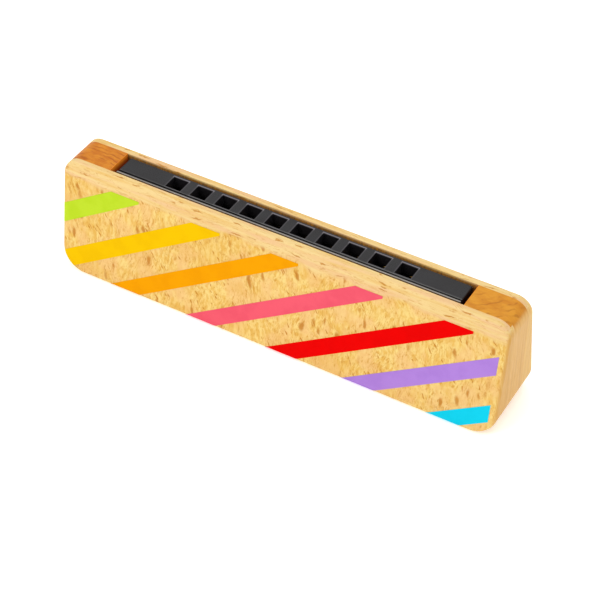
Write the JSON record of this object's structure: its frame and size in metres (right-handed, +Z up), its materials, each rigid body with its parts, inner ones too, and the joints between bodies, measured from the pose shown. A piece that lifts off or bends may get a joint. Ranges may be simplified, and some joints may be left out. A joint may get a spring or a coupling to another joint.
{
  "type": "toy harmonica",
  "caption": "Wooden toy harmonica with a wedge-shaped case, painted diagonal stripes, a black comb of square mouth holes and sprung metal reeds inside.",
  "frame": {"origin": "centre of the base the case stands on", "axes": "+X along the case towards the low notes, -Y out of the painted front face, +Z up towards the mouth holes"},
  "size_m": [0.131, 0.0232, 0.034],
  "materials": {
    "painted_beech": "satin lacquered beech with seven painted diagonal stripes",
    "beech": "satin lacquered beech",
    "beech_end_block": "satin lacquered beech, darker heartwood",
    "black_abs": "moulded satin black",
    "reed_plate_metal": "brushed, nickel bright",
    "reed_brass": "milled brass",
    "brass_rivet": "upset brass",
    "screw_steel": "zinc plated"
  },
  "bodies": {
    "housing": {"front_cover": "painted_beech", "back_cover": "beech", "left_end_block": "beech_end_block", "right_end_block": "beech_end_block", "comb": "black_abs", "blow_reed_plate": "reed_plate_metal", "draw_reed_plate": "reed_plate_metal", "blow_reed_rivets": "brass_rivet", "draw_reed_rivets": "brass_rivet", "blow_plate_screws": "screw_steel", "draw_plate_screws": "screw_steel"},
    "blow_reed_1": {"blow_reed_1": "reed_brass"},
    "blow_reed_2": {"blow_reed_2": "reed_brass"},
    "blow_reed_3": {"blow_reed_3": "reed_brass"},
    "blow_reed_4": {"blow_reed_4": "reed_brass"},
    "blow_reed_5": {"blow_reed_5": "reed_brass"},
    "blow_reed_6": {"blow_reed_6": "reed_brass"},
    "blow_reed_7": {"blow_reed_7": "reed_brass"},
    "blow_reed_8": {"blow_reed_8": "reed_brass"},
    "blow_reed_9": {"blow_reed_9": "reed_brass"},
    "blow_reed_10": {"blow_reed_10": "reed_brass"},
    "draw_reed_1": {"draw_reed_1": "reed_brass"},
    "draw_reed_2": {"draw_reed_2": "reed_brass"},
    "draw_reed_3": {"draw_reed_3": "reed_brass"},
    "draw_reed_4": {"draw_reed_4": "reed_brass"},
    "draw_reed_5": {"draw_reed_5": "reed_brass"},
    "draw_reed_6": {"draw_reed_6": "reed_brass"},
    "draw_reed_7": {"draw_reed_7": "reed_brass"},
    "draw_reed_8": {"draw_reed_8": "reed_brass"},
    "draw_reed_9": {"draw_reed_9": "reed_brass"},
    "draw_reed_10": {"draw_reed_10": "reed_brass"}
  },
  "joints": [
    {"name": "blow_reed_1_swing", "type": "hinge", "parent": "housing", "child": "blow_reed_1", "pos_m": [0.03375, -0.0029, 0.0284], "axis": [1, 0, 0], "range_deg": [-2.5, 2.5], "stiffness_Nm_per_rad": 0.0015},
    {"name": "blow_reed_2_swing", "type": "hinge", "parent": "housing", "child": "blow_reed_2", "pos_m": [0.02625, -0.0029, 0.0284], "axis": [1, 0, 0], "range_deg": [-2.5, 2.5], "stiffness_Nm_per_rad": 0.0015},
    {"name": "blow_reed_3_swing", "type": "hinge", "parent": "housing", "child": "blow_reed_3", "pos_m": [0.01875, -0.0029, 0.0284], "axis": [1, 0, 0], "range_deg": [-2.5, 2.5], "stiffness_Nm_per_rad": 0.0015},
    {"name": "blow_reed_4_swing", "type": "hinge", "parent": "housing", "child": "blow_reed_4", "pos_m": [0.01125, -0.0029, 0.0284], "axis": [1, 0, 0], "range_deg": [-2.5, 2.5], "stiffness_Nm_per_rad": 0.0015},
    {"name": "blow_reed_5_swing", "type": "hinge", "parent": "housing", "child": "blow_reed_5", "pos_m": [0.00375, -0.0029, 0.0284], "axis": [1, 0, 0], "range_deg": [-2.5, 2.5], "stiffness_Nm_per_rad": 0.0015},
    {"name": "blow_reed_6_swing", "type": "hinge", "parent": "housing", "child": "blow_reed_6", "pos_m": [-0.00375, -0.0029, 0.0284], "axis": [1, 0, 0], "range_deg": [-2.5, 2.5], "stiffness_Nm_per_rad": 0.0015},
    {"name": "blow_reed_7_swing", "type": "hinge", "parent": "housing", "child": "blow_reed_7", "pos_m": [-0.01125, -0.0029, 0.0284], "axis": [1, 0, 0], "range_deg": [-2.5, 2.5], "stiffness_Nm_per_rad": 0.0015},
    {"name": "blow_reed_8_swing", "type": "hinge", "parent": "housing", "child": "blow_reed_8", "pos_m": [-0.01875, -0.0029, 0.0284], "axis": [1, 0, 0], "range_deg": [-2.5, 2.5], "stiffness_Nm_per_rad": 0.0015},
    {"name": "blow_reed_9_swing", "type": "hinge", "parent": "housing", "child": "blow_reed_9", "pos_m": [-0.02625, -0.0029, 0.0284], "axis": [1, 0, 0], "range_deg": [-2.5, 2.5], "stiffness_Nm_per_rad": 0.0015},
    {"name": "blow_reed_10_swing", "type": "hinge", "parent": "housing", "child": "blow_reed_10", "pos_m": [-0.03375, -0.0029, 0.0284], "axis": [1, 0, 0], "range_deg": [-2.5, 2.5], "stiffness_Nm_per_rad": 0.0015},
    {"name": "draw_reed_1_swing", "type": "hinge", "parent": "housing", "child": "draw_reed_1", "pos_m": [0.03375, 0.00391, 0.0284], "axis": [1, 0, 0], "range_deg": [-2.5, 2.5], "stiffness_Nm_per_rad": 0.0015},
    {"name": "draw_reed_2_swing", "type": "hinge", "parent": "housing", "child": "draw_reed_2", "pos_m": [0.02625, 0.00391, 0.0284], "axis": [1, 0, 0], "range_deg": [-2.5, 2.5], "stiffness_Nm_per_rad": 0.0015},
    {"name": "draw_reed_3_swing", "type": "hinge", "parent": "housing", "child": "draw_reed_3", "pos_m": [0.01875, 0.00391, 0.0284], "axis": [1, 0, 0], "range_deg": [-2.5, 2.5], "stiffness_Nm_per_rad": 0.0015},
    {"name": "draw_reed_4_swing", "type": "hinge", "parent": "housing", "child": "draw_reed_4", "pos_m": [0.01125, 0.00391, 0.0284], "axis": [1, 0, 0], "range_deg": [-2.5, 2.5], "stiffness_Nm_per_rad": 0.0015},
    {"name": "draw_reed_5_swing", "type": "hinge", "parent": "housing", "child": "draw_reed_5", "pos_m": [0.00375, 0.00391, 0.0284], "axis": [1, 0, 0], "range_deg": [-2.5, 2.5], "stiffness_Nm_per_rad": 0.0015},
    {"name": "draw_reed_6_swing", "type": "hinge", "parent": "housing", "child": "draw_reed_6", "pos_m": [-0.00375, 0.00391, 0.0284], "axis": [1, 0, 0], "range_deg": [-2.5, 2.5], "stiffness_Nm_per_rad": 0.0015},
    {"name": "draw_reed_7_swing", "type": "hinge", "parent": "housing", "child": "draw_reed_7", "pos_m": [-0.01125, 0.00391, 0.0284], "axis": [1, 0, 0], "range_deg": [-2.5, 2.5], "stiffness_Nm_per_rad": 0.0015},
    {"name": "draw_reed_8_swing", "type": "hinge", "parent": "housing", "child": "draw_reed_8", "pos_m": [-0.01875, 0.00391, 0.0284], "axis": [1, 0, 0], "range_deg": [-2.5, 2.5], "stiffness_Nm_per_rad": 0.0015},
    {"name": "draw_reed_9_swing", "type": "hinge", "parent": "housing", "child": "draw_reed_9", "pos_m": [-0.02625, 0.00391, 0.0284], "axis": [1, 0, 0], "range_deg": [-2.5, 2.5], "stiffness_Nm_per_rad": 0.0015},
    {"name": "draw_reed_10_swing", "type": "hinge", "parent": "housing", "child": "draw_reed_10", "pos_m": [-0.03375, 0.00391, 0.0284], "axis": [1, 0, 0], "range_deg": [-2.5, 2.5], "stiffness_Nm_per_rad": 0.0015}
  ]
}
